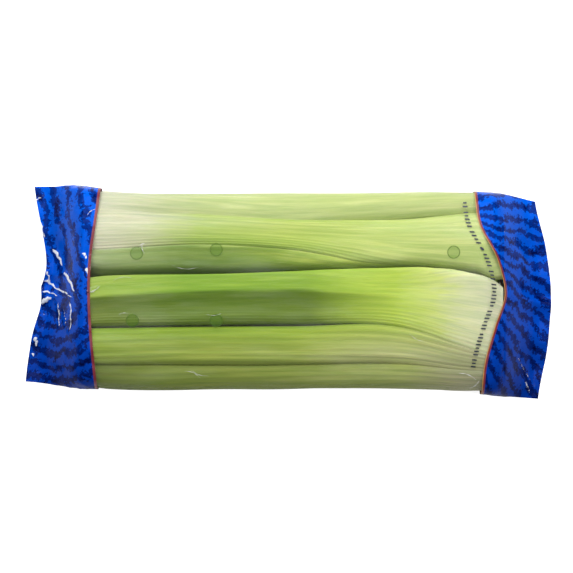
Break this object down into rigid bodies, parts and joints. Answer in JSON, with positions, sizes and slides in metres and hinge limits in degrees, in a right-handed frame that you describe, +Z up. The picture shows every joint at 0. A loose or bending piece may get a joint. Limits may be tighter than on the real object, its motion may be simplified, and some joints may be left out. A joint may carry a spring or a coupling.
{
  "type": "bagged celery hearts",
  "caption": "Trimmed celery hearts lying side by side, head to tail, in a clear vented film bag with printed, sealed ends.",
  "frame": {"origin": "centre of the pack's footprint, on the surface it lies on", "axes": "+X along the pack, from heart A's butt towards heart B's butt; +Y across it, from heart B to heart A; +Z up, out of the broad side on show"},
  "size_m": [0.316, 0.1276, 0.0529],
  "materials": {
    "clear_film": "thin clear polyethylene film, glossy, lightly creased, with punched vent holes",
    "printed_film": "glossy film printed bright blue with wavy navy ripples, crumpled at the sealed ends",
    "stripe_print": "dark red pinstripe printed on glossy film",
    "celery_stalk": "smooth moist plant skin, ribbed lengthwise, cream at the butt and green towards the trimmed end",
    "celery_inner": "smooth pale yellow-green plant skin",
    "celery_butt": "cream-white plant base with a dry, slightly browned cut face"
  },
  "bodies": {
    "root": {"clear_sleeve": "clear_film", "stripe_left": "stripe_print", "stripe_right": "stripe_print", "printed_end_left": "printed_film", "printed_end_right": "printed_film", "heart_a_butt": "celery_butt", "heart_a_stalk_side": "celery_stalk", "heart_a_stalk_front": "celery_stalk", "heart_a_stalk_deep": "celery_stalk", "heart_a_stalk_inner_side": "celery_stalk", "heart_a_stalk_back": "celery_stalk", "heart_a_inner_stalk_1": "celery_inner", "heart_a_inner_stalk_2": "celery_inner", "heart_a_inner_stalk_3": "celery_inner", "heart_a_core": "celery_inner", "heart_b_butt": "celery_butt", "heart_b_stalk_front": "celery_stalk", "heart_b_stalk_middle": "celery_stalk", "heart_b_stalk_side": "celery_stalk", "heart_b_stalk_back": "celery_stalk", "heart_b_stalk_inner_side": "celery_stalk", "heart_b_inner_stalk_1": "celery_inner", "heart_b_inner_stalk_2": "celery_inner", "heart_b_inner_stalk_3": "celery_inner", "heart_b_core": "celery_inner"}
  },
  "joints": []
}
